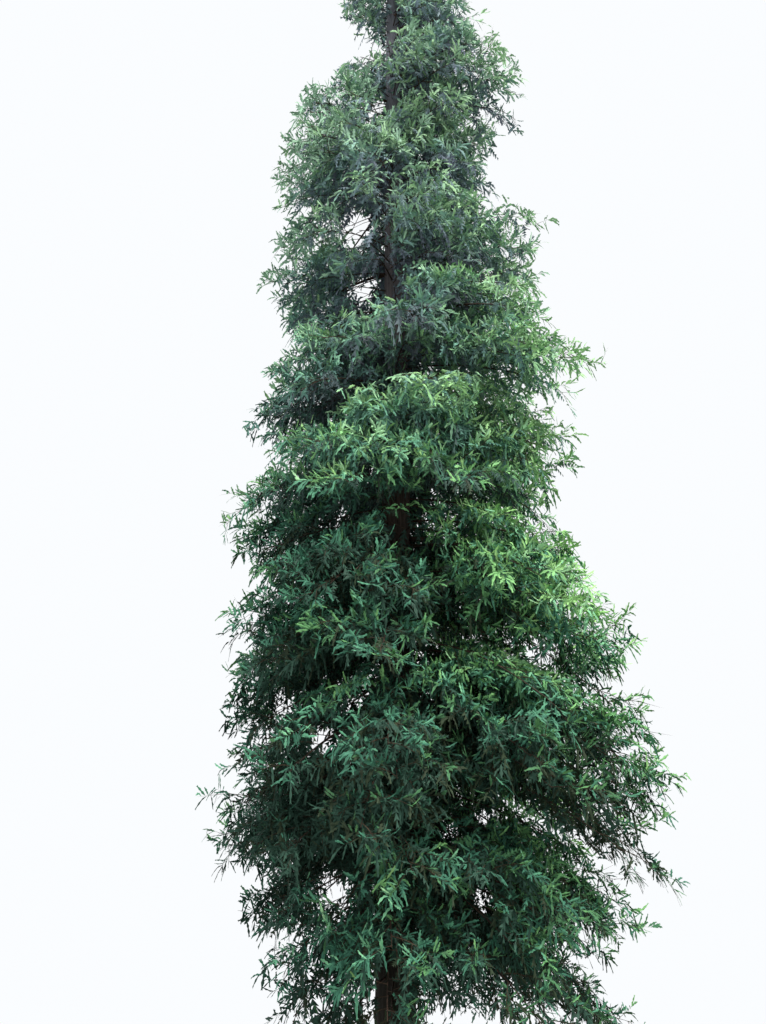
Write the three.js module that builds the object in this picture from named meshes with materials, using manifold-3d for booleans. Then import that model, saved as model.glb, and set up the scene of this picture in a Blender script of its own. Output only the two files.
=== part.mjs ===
// A coast redwood of the size that stands in a front garden, growing from level ground. One straight,
// red-brown trunk with a flared foot runs up through the crown. Drooping boughs leave it in a rising
// spiral, and each carries one mass of needle sprays. In the narrow top the masses sit straight on the
// trunk. Millimetres, +Z up, with the origin in the middle of the flat cut at ground level.

import * as THREE from "three";
import { mergeVertices } from "three/addons/utils/BufferGeometryUtils.js";
import Module from "manifold-3d";

const wasm = await Module();
wasm.setup();

const FULL_TURN = 2 * Math.PI;
const DEGREE = Math.PI / 180;
const UP = new THREE.Vector3(0, 0, 1);
const SEED = 20260;

// Between a limb and what it grows from.
const FIT_GAP = 0.3;

// The trunk: its straight taper, the flare and buttresses of its foot, and the slight bow of its line.
const TREE_HEIGHT = 22500;
const TRUNK_HEIGHT = 21300;
const TRUNK_RADIUS = 250;
const TRUNK_TIP_RADIUS = 15;
const TRUNK_TAPER = 0.52;
const FLARE = 115;
const FLARE_HEIGHT = 480;
const BUTTRESSES = 5;
const BUTTRESS_SHARE = 0.4;
const BOW_SIDE = 60;
const BOW_BACK = 30;
const TRUNK_SIDES = 20;
const TRUNK_RINGS = 11;
const RING_CROWDING = 1.8;

// The crown's spiral: one bough a step, each a little higher and further round than the last.
const BOUGH_COUNT = 35;
const LOWEST_BOUGH = 3350;
const BOUGH_RISE = 518;
const SPIRAL_START = -110 * DEGREE;
const TURN_LOW = 85.5 * DEGREE;
const TURN_HIGH = 122 * DEGREE;

// The crown's outline: how far a bough reaches, how much further to the right than to the left, and how
// much shorter the lowest boughs are.
const CROWN_REACH = 3480;
const REACH_POWER = 0.346;
const TOP_ROUNDING = 1500;
const LOPSIDE_LOW = 0.2;
const LOPSIDE_HIGH = 0.1;
const SKIRT_SHORTER = 0.25;
const SKIRT_RISE = 900;
const REACH_LEAST = 0.88;
const REACH_MOST = 1.04;

// How a bough droops: its slope where it leaves the trunk, and how far it bends down over its reach.
const SLOPE_LOW = 0.2;
const SLOPE_HIGH = -0.12;
const BEND = 0.45;

// The bare part of a bough. Boughs above the last bare one are foliage right from the trunk.
const BARE_BOUGHS = 23;
const BARE_SHARE = 0.24;
const BOUGH_ROOT_RADIUS = 46;
const BOUGH_TIP_RADIUS = 25;
const BOUGH_SIDES = 5;
const BOUGH_STEPS = 3;
const ROOT_DEPTH = 60;

// The dense inside of a mass, like a tent with a ragged hem. Its width and length are shares of a turn's
// step and of the bough, and its levels are shares of the rise of a turn.
const CORE_FROM = 0.26;
const CORE_TO = 0.8;
const CORE_TURN = 0.42;
const CORE_LOBES = 6;
const CORE_PEAK = 0.16;
const CORE_SHOULDER = [0.6, 0.03];
const CORE_VALLEY = [0.78, -0.24];
const CORE_TOOTH = [1, -0.44];
const CORE_HOLLOW = -0.1;
const CORE_RAGGEDNESS = 0.12;

// The foliage: a stem with alternate three-sided twigs that end in toothed sprays of needles.
const STEM_STEPS = 4;
const STEM_SHARE = 0.84;
const STEM_TIP_RADIUS = 12;
const TOP_STEM_RADIUS = 18;
const LOW_TWIGS = 4;
const HIGH_TWIGS = 3;
const TWIG_SIDES = 3;
const TWIG_ROOT_RADIUS = 9;
const TWIG_TIP_RADIUS = 6;
const TWIG_SHARE = 0.36;
const TWIG_DROOP = 0.42;
const TWIG_TURN_INNER = 1.15;
const TWIG_TURN_OUTER = 0.8;
const LOW_FORKS = 2;
const HIGH_FORKS = 1;
const FORK_SHARE = 0.35;
const FORK_TURN = 0.85;
const FORK_LENGTH = 160;
const END_DEPTH = 60;
const SPRAY_DROOP = 0.9;
const FORK_DROOP = 1.7;
const SPRAY_ROLL = 1.1;
const SPRAY_LENGTH_LOW = 1050;
const SPRAY_LENGTH_HIGH = 640;
const SPRAY_WIDTH_SHARE = 0.46;
const SPRAY_THICKNESS_SHARE = 0.03;
const SPRAY_TRIES = 10;
const SLIVER = 1.5;

// One side of a spray's toothed outline, from root to tip: shares of its length and of its width.
const SPRAY_SIDE = [
  [0.3, 0.5],
  [0.47, 0.22],
  [0.62, 0.42],
];

// Each mass keeps to a band between its own turn of the spiral and the next one up.
const SPACE_BELOW = 0.64;
const SPACE_MARGIN = 12;
const SPACE_BEYOND = 1.07;
const GROUND_CLEARANCE = 1050;

// The leader: the tuft on the trunk's tip.
const LEADER_RADIUS = 13;
const LEADER_SIDES = 4;
const LEADER_SPRAYS = 9;
const LEADER_SPRAY_LENGTH = 460;
const LEADER_TWIG = 60;
const LEADER_FALL_LOW = 0.3;
const LEADER_FALL_HIGH = -1.6;
const GOLDEN_TURN = 137.5 * DEGREE;

const barkMaterial = new THREE.MeshStandardMaterial({ color: 0x5a3a2c, roughness: 0.95, metalness: 0 });
const needleMaterial = new THREE.MeshStandardMaterial({ color: 0x2f5a34, roughness: 0.7, metalness: 0 });

const lerp = THREE.MathUtils.lerp;

// Random numbers from 0 to 1 that come out the same on every run (mulberry32).
function seededRandom(seed) {
  let state = seed >>> 0;
  return () => {
    state = (state + 0x6d2b79f5) >>> 0;
    let mixed = Math.imul(state ^ (state >>> 15), state | 1);
    mixed ^= mixed + Math.imul(mixed ^ (mixed >>> 7), mixed | 61);
    return ((mixed ^ (mixed >>> 14)) >>> 0) / 4294967296;
  };
}

// A geometry with nothing but its corners, each there once.
function cornersOnly(geometry) {
  geometry.deleteAttribute("normal");
  geometry.deleteAttribute("uv");
  return mergeVertices(geometry, 1e-3);
}

// A closed three.js geometry as a solid that can be joined and cut.
function solidFrom(geometry) {
  const merged = cornersOnly(geometry);
  return new wasm.Manifold(
    new wasm.Mesh({
      numProp: 3,
      vertProperties: merged.getAttribute("position").array,
      triVerts: new Uint32Array(merged.index.array),
    }),
  );
}

// A solid as a named mesh.
function meshFrom(solid, name, material) {
  const made = solid.getMesh();
  const geometry = new THREE.BufferGeometry();
  geometry.setAttribute("position", new THREE.BufferAttribute(new Float32Array(made.vertProperties), 3));
  geometry.setIndex(new THREE.BufferAttribute(new Uint32Array(made.triVerts), 1));
  geometry.computeVertexNormals();
  const mesh = new THREE.Mesh(geometry, material);
  mesh.name = name;
  return mesh;
}

// The middle of the trunk at a height. Its line bows to one side and back again.
function trunkAxis(height) {
  const share = height / TREE_HEIGHT;
  const side = BOW_SIDE * Math.sin(Math.PI * share);
  return new THREE.Vector3(side, BOW_BACK * Math.sin(FULL_TURN * share), height);
}

// The trunk's radius: a slow taper, and a foot that flares out in buttresses.
function trunkRadius(height, azimuth) {
  const taper = Math.max(0, 1 - height / TRUNK_HEIGHT) ** TRUNK_TAPER;
  const foot = FLARE * Math.exp(-height / FLARE_HEIGHT);
  const ribbed = 1 + BUTTRESS_SHARE * Math.cos(BUTTRESSES * azimuth + 1);
  return TRUNK_TIP_RADIUS + (TRUNK_RADIUS - TRUNK_TIP_RADIUS) * taper + foot * ribbed;
}

// The trunk, or the trunk grown by a clearance on its sides, from a lathe of unit radius.
function trunkSolid(clearance) {
  const profile = [new THREE.Vector2(0, 0)];
  for (let ring = 0; ring <= TRUNK_RINGS; ring++) {
    const height = TRUNK_HEIGHT * (ring / TRUNK_RINGS) ** RING_CROWDING;
    profile.push(new THREE.Vector2(1, height));
  }
  profile.push(new THREE.Vector2(0, TRUNK_HEIGHT));
  const geometry = new THREE.LatheGeometry(profile, TRUNK_SIDES).rotateX(Math.PI / 2);
  const position = geometry.getAttribute("position");
  for (let i = 0; i < position.count; i++) {
    const height = Math.max(0, position.getZ(i));
    const azimuth = Math.atan2(position.getY(i), position.getX(i));
    const onAxis = Math.hypot(position.getX(i), position.getY(i)) < 0.5;
    const radius = onAxis ? 0 : trunkRadius(height, azimuth) + clearance;
    const middle = trunkAxis(height);
    position.setXYZ(i, middle.x + radius * Math.cos(azimuth), middle.y + radius * Math.sin(azimuth), height);
  }
  return solidFrom(geometry);
}

// How far the crown reaches for boughs that leave the trunk at a height, in one direction.
function crownReach(height, azimuth) {
  const below = Math.max(1, TREE_HEIGHT - height);
  const taper = (below / TREE_HEIGHT) ** REACH_POWER * (1 - Math.exp(-below / TOP_ROUNDING));
  const skirt = 1 - SKIRT_SHORTER * Math.exp(-Math.max(0, height - LOWEST_BOUGH) / SKIRT_RISE);
  const lopside = lerp(LOPSIDE_LOW, LOPSIDE_HIGH, height / TREE_HEIGHT);
  return CROWN_REACH * taper * skirt * (1 + lopside * Math.cos(azimuth));
}

// The height, at a distance out from the trunk, of the drooping line that leaves it at a given height.
function droopHeight(start, outward, azimuth) {
  const reach = crownReach(start, azimuth);
  const slope = lerp(SLOPE_LOW, SLOPE_HIGH, start / TREE_HEIGHT);
  return start - slope * outward - (BEND * outward * outward) / reach;
}

// The spiral: the azimuth and height of a step, which may fall between two boughs, and the way back.
const TURN_GROWTH = (TURN_HIGH - TURN_LOW) / (BOUGH_COUNT - 1);
const spiralAzimuth = (step) => SPIRAL_START + TURN_LOW * step + (TURN_GROWTH * step * step) / 2;
const spiralHeight = (step) => LOWEST_BOUGH + BOUGH_RISE * step;
function spiralStep(azimuth) {
  const turned = azimuth - SPIRAL_START;
  return (Math.sqrt(TURN_LOW * TURN_LOW + 2 * TURN_GROWTH * turned) - TURN_LOW) / TURN_GROWTH;
}

// How much higher the spiral is one full turn on.
const turnRise = (azimuth) => BOUGH_RISE * (spiralStep(azimuth + FULL_TURN) - spiralStep(azimuth));

// One bough of the spiral: where it starts, how far it goes, and where its foliage begins.
function boughAt(index) {
  const random = seededRandom(SEED + index);
  const azimuth = spiralAzimuth(index);
  const start = spiralHeight(index);
  const full = crownReach(start, azimuth);
  const bare = index < BARE_BOUGHS;
  const reach = full * lerp(REACH_LEAST, REACH_MOST, random());
  return {
    index,
    azimuth,
    start,
    reach,
    bare,
    random,
    sway: (random() - 0.5) * 0.2,
    foliageStart: bare ? reach * BARE_SHARE : 0,
    label: String(index + 1).padStart(2, "0"),
  };
}

// A point on a bough's middle line, at a distance out from the trunk's middle.
function onBough(bough, outward) {
  const azimuth = bough.azimuth + (bough.sway * outward) / bough.reach;
  const height = droopHeight(bough.start, outward, bough.azimuth);
  const middle = trunkAxis(bough.start);
  return new THREE.Vector3(
    middle.x + outward * Math.cos(azimuth),
    middle.y + outward * Math.sin(azimuth),
    height,
  );
}

// A stretch of a bough's middle line as a curve.
class BoughLine extends THREE.Curve {
  constructor(bough, from, to) {
    super();
    this.bough = bough;
    this.from = from;
    this.to = to;
  }

  getPoint(share) {
    return onBough(this.bough, lerp(this.from, this.to, share));
  }
}

// A tapering limb along a curve, cut square at both ends: a cylinder's rings moved onto the curve. Its
// lowest edge runs along its underside.
function limbSolid(curve, rootRadius, tipRadius, sides, steps) {
  const geometry = new THREE.CylinderGeometry(tipRadius, rootRadius, 1, sides, steps, false, Math.PI);
  const position = geometry.getAttribute("position");
  for (let i = 0; i < position.count; i++) {
    const share = THREE.MathUtils.clamp(position.getY(i) + 0.5, 0, 1);
    const along = curve.getTangent(share);
    const level = Math.abs(along.z) > 0.99 ? new THREE.Vector3(0, 1, 0) : UP;
    const side = new THREE.Vector3().crossVectors(along, level).normalize();
    const over = new THREE.Vector3().crossVectors(side, along);
    const point = curve.getPoint(share);
    point.addScaledVector(side, position.getX(i)).addScaledVector(over, position.getZ(i));
    position.setXYZ(i, point.x, point.y, point.z);
  }
  return solidFrom(geometry);
}

// A direction from its azimuth and how far it falls for each unit outward.
function headingOf(azimuth, fall) {
  return new THREE.Vector3(Math.cos(azimuth), Math.sin(azimuth), -fall).normalize();
}

// The corners of a spray's toothed outline, from one side of its root round the tip to the other side.
function sprayCorners(joint, along, across, length) {
  const width = length * SPRAY_WIDTH_SHARE;
  const corner = (share, side) =>
    joint
      .clone()
      .addScaledVector(along, share * length)
      .addScaledVector(across, side * width);
  return [
    ...SPRAY_SIDE.map(([share, side]) => corner(share, -side)),
    corner(1, 0),
    ...[...SPRAY_SIDE].reverse().map(([share, side]) => corner(share, side)),
  ];
}

// A twig that ends in a spray of needles. The twig is three-sided. Its end widens into a thin toothed
// blade, thickest in its middle, so that twig and blade are one closed surface.
function spraySolid(root, joint, corners, along, across, length) {
  const over = new THREE.Vector3().crossVectors(along, across);
  const ring = (middle, radius) => [
    middle.clone().addScaledVector(across, radius),
    middle.clone().addScaledVector(across, -radius),
    middle.clone().addScaledVector(over, radius),
  ];
  const half = (length * SPRAY_THICKNESS_SHARE) / 2;
  const middle = joint.clone().addScaledVector(along, length / 2);
  const points = [
    ...ring(root, TWIG_ROOT_RADIUS),
    ...ring(joint, TWIG_TIP_RADIUS),
    middle.clone().addScaledVector(over, half),
    middle.clone().addScaledVector(over, -half),
    ...corners,
  ];
  const [left, right, top, upper, lower, first] = [3, 4, 5, 6, 7, 8];
  const faces = [0, 1, 2, upper, left, top, upper, top, right, lower, right, left];
  for (let side = 0; side < 3; side++) {
    const next = (side + 1) % 3;
    faces.push(next, side, side + 3, next, side + 3, next + 3);
  }
  const outline = [right, ...corners.map((_, index) => first + index), left];
  for (let index = 1; index < outline.length; index++) {
    const [from, to] = [outline[index - 1], outline[index]];
    faces.push(upper, from, to, lower, to, from);
  }
  const geometry = new THREE.BufferGeometry().setFromPoints(points);
  geometry.setIndex(faces);
  return solidFrom(geometry);
}

// The dense inside of a mass: a peak, a ring of shoulders, and a hem of low teeth and higher valleys that
// closes round a hollow underside. It bends and droops with the mass's own space.
function coreSolid(bough) {
  const middle = trunkAxis(bough.start);
  const rise = turnRise(bough.azimuth);
  const corner = (turn, [radius, level]) => {
    const size = radius * (1 - CORE_RAGGEDNESS * bough.random());
    const outward = bough.reach * lerp(CORE_FROM, CORE_TO, 0.5 + (size * Math.cos(turn)) / 2);
    const step = bough.index + CORE_TURN * size * Math.sin(turn);
    const azimuth = spiralAzimuth(step);
    const height = droopHeight(spiralHeight(step), outward, azimuth);
    const point = new THREE.Vector3(outward * Math.cos(azimuth), outward * Math.sin(azimuth), 0).add(middle);
    return point.setZ(height + (level - CORE_RAGGEDNESS * bough.random()) * rise);
  };
  const points = [corner(0, [0, CORE_PEAK]), corner(0, [0, CORE_HOLLOW])];
  const faces = [];
  const [peak, hollow, first] = [0, 1, 2];
  for (let lobe = 0; lobe < CORE_LOBES; lobe++) {
    const turn = (FULL_TURN * lobe) / CORE_LOBES;
    points.push(corner(turn, CORE_SHOULDER), corner(turn, CORE_VALLEY));
    points.push(corner(turn + Math.PI / CORE_LOBES, CORE_TOOTH));
    const [shoulder, valley, tooth] = [0, 1, 2].map((place) => first + 3 * lobe + place);
    const next = first + 3 * ((lobe + 1) % CORE_LOBES);
    faces.push(peak, shoulder, next, shoulder, valley, tooth, shoulder, tooth, next, next, tooth, next + 1);
    faces.push(hollow, tooth, valley, hollow, next + 1, tooth);
  }
  const geometry = new THREE.BufferGeometry().setFromPoints(points);
  geometry.setIndex(faces);
  return solidFrom(geometry);
}

// Whether a point lies in the space that a bough's foliage keeps to.
function inSpace(bough, point) {
  const middle = trunkAxis(bough.start);
  const outward = Math.hypot(point.x - middle.x, point.y - middle.y);
  const azimuth = Math.atan2(point.y - middle.y, point.x - middle.x);
  const aside = THREE.MathUtils.euclideanModulo(azimuth - bough.azimuth + Math.PI, FULL_TURN) - Math.PI;
  const turned = bough.azimuth + aside;
  const step = spiralStep(turned);
  const edge = SPACE_MARGIN / Math.max(outward, 1) / TURN_LOW;
  if (Math.abs(step - bough.index) > 0.5 - edge) return false;
  const rise = turnRise(turned);
  const lowest = spiralHeight(step) - SPACE_BELOW * rise;
  const floor = droopHeight(lowest, outward, turned) + SPACE_MARGIN;
  const ceiling = droopHeight(lowest + rise, outward, turned) - SPACE_MARGIN;
  return (
    point.z > Math.max(floor, GROUND_CLEARANCE) &&
    point.z < ceiling &&
    outward < crownReach(bough.start, turned) * SPACE_BEYOND
  );
}

// A twig with its spray, its blade turned a little more each try until it keeps to its space and clears
// the limbs and the sprays that are there. Nothing grows where no try fits.
function growSpray(bough, root, joint, azimuth, fall, length, others) {
  for (let attempt = 0; attempt < SPRAY_TRIES; attempt++) {
    const loosened = 0.12 + 0.06 * attempt;
    const along = headingOf(
      azimuth + (bough.random() - 0.5) * 2 * loosened,
      fall * (1 + (bough.random() - 0.5) * 2 * loosened),
    );
    const level = new THREE.Vector3().crossVectors(UP, along).normalize();
    const across = level.applyAxisAngle(along, (bough.random() - 0.5) * SPRAY_ROLL);
    const size = length * (1 - 0.04 * attempt) * lerp(0.85, 1.1, bough.random());
    const corners = sprayCorners(joint, along, across, size);
    if (![joint, ...corners].every((corner) => inSpace(bough, corner))) continue;
    const spray = spraySolid(root, joint, corners, along, across, size);
    if (others.every((other) => spray.intersect(other).isEmpty())) return spray;
  }
  return null;
}

// Joins the pieces of a mass. Slivers of faces and scraps that touch nothing else are dropped.
function joined(pieces) {
  const parts = wasm.Manifold.union(pieces).simplify(SLIVER).decompose();
  return parts.reduce((most, part) => (part.volume() > most.volume() ? part : most));
}

// One mass of foliage: the stem that carries the bough on, twigs on alternate sides that end in sprays,
// and a shorter twig with its own spray on each of those.
function foliageSolid(bough, trunkSpace, limbs) {
  const rootRadius = bough.bare ? BOUGH_TIP_RADIUS : TOP_STEM_RADIUS;
  const atTrunk = trunkRadius(bough.start, bough.azimuth) - ROOT_DEPTH / 2;
  const inner = bough.bare ? bough.foliageStart + FIT_GAP : atTrunk;
  const outer = bough.reach * STEM_SHARE;
  const line = new BoughLine(bough, inner, outer);
  const stem = limbSolid(line, rootRadius, STEM_TIP_RADIUS, TWIG_SIDES, STEM_STEPS);
  const sprayLength = lerp(SPRAY_LENGTH_LOW, SPRAY_LENGTH_HIGH, bough.start / TREE_HEIGHT);
  const sprays = [];
  const grow = (root, along, twigLength, azimuth, fall, parent) => {
    const joint = root.clone().addScaledVector(along, twigLength);
    const others = [limbs, ...sprays.filter((spray) => spray !== parent)];
    const spray = growSpray(bough, root, joint, azimuth, fall, sprayLength, others);
    if (spray) sprays.push(spray);
    return spray;
  };
  const [twigs, forks] = bough.bare ? [LOW_TWIGS, LOW_FORKS] : [HIGH_TWIGS, HIGH_FORKS];
  for (let twig = 0; twig < twigs; twig++) {
    const share = (twig + 0.35) / twigs;
    const side = (twig + bough.index) % 2 ? 1 : -1;
    const root = onBough(bough, lerp(inner, outer, share));
    const azimuth = bough.azimuth + side * lerp(TWIG_TURN_INNER, TWIG_TURN_OUTER, share);
    const length = bough.reach * TWIG_SHARE * lerp(1, 0.6, share) * lerp(0.85, 1.1, bough.random());
    const along = headingOf(azimuth, TWIG_DROOP);
    const spray = grow(root, along, length, azimuth, SPRAY_DROOP);
    if (!spray || twig >= forks) continue;
    const fork = root.clone().addScaledVector(along, length * FORK_SHARE);
    const forward = azimuth - side * FORK_TURN;
    grow(fork, headingOf(forward, FORK_DROOP), FORK_LENGTH, forward, FORK_DROOP, spray);
  }
  const end = onBough(bough, outer - END_DEPTH);
  const ahead = headingOf(bough.azimuth, SPRAY_DROOP);
  grow(end, ahead, END_DEPTH * 2, bough.azimuth, SPRAY_DROOP);
  const core = coreSolid(bough);
  const dense = bough.bare ? [stem, core] : [stem.subtract(trunkSpace), core.subtract(trunkSpace)];
  return joined([...dense, ...sprays]);
}

// The tuft that carries the trunk's tip on: a short upright stem with sprays that rise round it.
function leaderSolid() {
  const foot = trunkAxis(TRUNK_HEIGHT);
  foot.z += FIT_GAP;
  const head = foot.clone();
  head.z = TREE_HEIGHT - LEADER_SPRAY_LENGTH;
  const line = new THREE.LineCurve3(foot, head);
  const pieces = [limbSolid(line, LEADER_RADIUS, STEM_TIP_RADIUS, LEADER_SIDES, 1)];
  const grow = (root, along, across, length) => {
    const joint = root.clone().addScaledVector(along, LEADER_TWIG);
    const corners = sprayCorners(joint, along, across, length);
    pieces.push(spraySolid(root, joint, corners, along, across, length));
  };
  for (let index = 0; index < LEADER_SPRAYS; index++) {
    const share = index / (LEADER_SPRAYS - 1);
    const along = headingOf(index * GOLDEN_TURN, lerp(LEADER_FALL_LOW, LEADER_FALL_HIGH, share));
    const across = new THREE.Vector3().crossVectors(UP, along).normalize();
    const root = line.getPoint(lerp(0.15, 0.9, share));
    grow(root, along, across, LEADER_SPRAY_LENGTH * lerp(1.1, 0.8, share));
  }
  const tip = head.clone();
  tip.z -= LEADER_TWIG;
  grow(tip, UP.clone(), new THREE.Vector3(1, 0, 0), LEADER_SPRAY_LENGTH);
  return joined(pieces);
}

// One bare bough, from 0.3 mm off the trunk's bark to where its foliage begins.
function boughSolid(bough, trunkSpace) {
  const inner = trunkRadius(bough.start, bough.azimuth) - ROOT_DEPTH;
  const slimming = lerp(1, 0.72, bough.index / BARE_BOUGHS);
  const line = new BoughLine(bough, inner, bough.foliageStart);
  const limb = limbSolid(line, BOUGH_ROOT_RADIUS * slimming, BOUGH_TIP_RADIUS, BOUGH_SIDES, BOUGH_STEPS);
  return joined([limb.subtract(trunkSpace)]);
}

const trunk = trunkSolid(0);
const trunkSpace = trunkSolid(FIT_GAP);
const boughs = Array.from({ length: BOUGH_COUNT }, (_, index) => boughAt(index));
const bareBoughs = boughs.filter((bough) => bough.bare).map((bough) => boughSolid(bough, trunkSpace));
const limbs = wasm.Manifold.union([trunkSpace, ...bareBoughs]);

const wood = new THREE.Group();
wood.add(meshFrom(trunk, "trunk", barkMaterial));
bareBoughs.forEach((solid, index) => wood.add(meshFrom(solid, `bough_${boughs[index].label}`, barkMaterial)));

const foliage = new THREE.Group();
for (const bough of boughs) {
  foliage.add(meshFrom(foliageSolid(bough, trunkSpace, limbs), `foliage_${bough.label}`, needleMaterial));
}
foliage.add(meshFrom(leaderSolid(), "foliage_top", needleMaterial));

const tree = new THREE.Group();
tree.add(wood, foliage);

export default tree;
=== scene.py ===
"""A tall garden redwood, dressed for its portrait: bark, boughs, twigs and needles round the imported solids.

Metres, +Z up, with the origin in the middle of the cut under the trunk. The boughs follow the rule of the
solids, so the finer ones fill the same spaces round the trunk, and each spray of needles keeps to one.
"""

import math

import bpy
import numpy as np
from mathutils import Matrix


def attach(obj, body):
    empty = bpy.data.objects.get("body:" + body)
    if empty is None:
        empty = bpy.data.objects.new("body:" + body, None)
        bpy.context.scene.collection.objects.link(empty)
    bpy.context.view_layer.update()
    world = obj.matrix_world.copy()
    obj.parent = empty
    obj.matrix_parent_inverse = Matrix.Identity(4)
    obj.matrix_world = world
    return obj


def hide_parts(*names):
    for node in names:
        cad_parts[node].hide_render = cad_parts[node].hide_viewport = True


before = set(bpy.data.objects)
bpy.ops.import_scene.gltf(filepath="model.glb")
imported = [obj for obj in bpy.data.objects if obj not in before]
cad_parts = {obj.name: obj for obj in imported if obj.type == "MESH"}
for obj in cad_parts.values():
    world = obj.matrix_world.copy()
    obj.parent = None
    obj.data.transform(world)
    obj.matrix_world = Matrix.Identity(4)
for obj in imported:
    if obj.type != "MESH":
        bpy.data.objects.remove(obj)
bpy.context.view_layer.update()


# The view is the photograph's: from eye height, 14 m in front of the trunk, and tilted up, so that the frame
# runs from the lowest skirts of foliage to a few metres below the tip.
EYE = (-0.13, -14.0, 1.6)
TILT_UP = math.radians(26)
FOCAL_PIXELS = 1095.0
PHOTO_WIDTH = 766
PHOTO_HEIGHT = 1024
FILM_HEIGHT = 36
FARTHEST_SEEN = 500

camera_data = bpy.data.cameras.new("camera")
camera_data.sensor_width = FILM_HEIGHT
camera_data.lens = FILM_HEIGHT * FOCAL_PIXELS / PHOTO_HEIGHT
camera_data.clip_end = FARTHEST_SEEN
camera = bpy.data.objects.new("camera", camera_data)
camera.location = EYE
camera.rotation_euler = (math.pi / 2 + TILT_UP, 0, 0)
bpy.context.scene.collection.objects.link(camera)
bpy.context.scene.camera = camera


# The trunk is one straight stem with a buttressed foot, rooted in the ground. Its bark is thick, red-brown
# and fibrous, split by long upright furrows into ridges that part and join again. Painted shade darkens the
# furrows and the trunk low down under the crown, and painted haze lightens it high up.
TREE_HEIGHT = 22.5
TRUNK_HEIGHT = 21.3
TRUNK_RADIUS = 0.25
TRUNK_TIP_RADIUS = 0.015
TRUNK_TAPER = 0.52
FLARE = 0.115
FLARE_HEIGHT = 0.48
BUTTRESSES = 5
BUTTRESS_SHARE = 0.4
BUTTRESS_PHASE = 1
BOW_SIDE = 0.06
BOW_BACK = 0.03
BARK_AROUND = 92
BARK_UP = 250
BARK_CROWDING = 1.35
BARK_INSET = 0.006
FURROWS = 17
FURROW_DEPTH = 0.016
FURROW_NARROWING = 0.7
RIDGE_BREADTH = 1.25
CROSSING_FURROWS = 23
CROSSING_LEAN = -0.8
CROSSING_SWAY = 0.7
CROSSING_WAVES = 3.1
CROSSING_RIDGE = 0.35
STRAND_DEPTH = 0.004
WEATHERED_SHARE = 0.6
FURROW_SHARE = 0.85
BARK_ROUGHNESS = 0.8
FIBRE_ROUGHNESS = 0.2
RIDGE_SHADED = (0.06, 0.038, 0.03)
RIDGE_LIT = (0.14, 0.095, 0.078)
WEATHERED_GREY = (0.1, 0.088, 0.08)
FURROW_SHADE = (0.02, 0.012, 0.009)
LOW_SHADE_BLACK = (0.014, 0.014, 0.011)
PAINTED_BARK_HAZE = (0.25, 0.265, 0.32)

# The waves that lean the furrows: how far each sways, its waves up the trunk, its phase, and how far it turns
# with the trunk.
FURROW_LEANS = [(0.9, 0.8, 0, 0), (0.5, 2.1, 2, 0), (0.35, 5.3, 0, 1)]

# The waves on which strands drift, how far and how fast, and the sets of strands: how many go round the
# trunk, how much they drift, and how they climb.
STRAND_DRIFTS = [(1.3, 1.7), (0.6, 6.1)]
STRAND_SETS = [(58, 3, 0), (41, -2, 4)]


def trunk_axis(height):
    """The middle of the trunk at some heights: half a sine wave to the side and a whole one to the back."""
    share = height / TREE_HEIGHT
    side = BOW_SIDE * np.sin(np.pi * share)
    return np.stack([side, BOW_BACK * np.sin(2 * np.pi * share), height], axis=-1)


def trunk_radius(height, azimuth):
    """A power of the height that is left, and at the foot a flare that dies away, ribbed by a cosine."""
    taper = np.maximum(0, 1 - height / TRUNK_HEIGHT) ** TRUNK_TAPER
    ribbed = 1 + BUTTRESS_SHARE * np.cos(BUTTRESSES * azimuth + BUTTRESS_PHASE)
    foot = FLARE * np.exp(-height / FLARE_HEIGHT) * ribbed
    return TRUNK_TIP_RADIUS + (TRUNK_RADIUS - TRUNK_TIP_RADIUS) * taper + foot


def furrows(azimuth, height):
    """How deep the bark is split, from 0 on a ridge to 1 in a furrow.

    A folded sine round the trunk makes the ridges. Slow waves up the trunk lean them to and fro, and a
    second set that leans the other way parts and joins them.
    """
    lean = 0
    for sway, waves, phase, turn in FURROW_LEANS:
        lean = lean + sway * np.sin(waves * height + phase + turn * azimuth)
    crossing_sway = CROSSING_SWAY * np.sin(CROSSING_WAVES * height)
    first = np.abs(np.sin(FURROWS * azimuth / 2 + lean))
    second = np.abs(np.sin(CROSSING_FURROWS * azimuth / 2 + CROSSING_LEAN * lean + crossing_sway))
    ridge = np.minimum(first * RIDGE_BREADTH, CROSSING_RIDGE + second)
    return 1 - np.clip(ridge, 0, 1) ** FURROW_NARROWING


def strands(azimuth, height):
    """Fine fibres on the ridges: sets of fast sines round the trunk that drift as they go up it."""
    drift = 0
    for sway, waves in STRAND_DRIFTS:
        drift = drift + sway * np.sin(waves * height)
    depth = 0.5
    for count, drifting, climb in STRAND_SETS:
        wave = np.sin(count * azimuth + drifting * drift + climb * height)
        depth = depth + 0.5 / len(STRAND_SETS) * wave
    return depth


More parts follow.
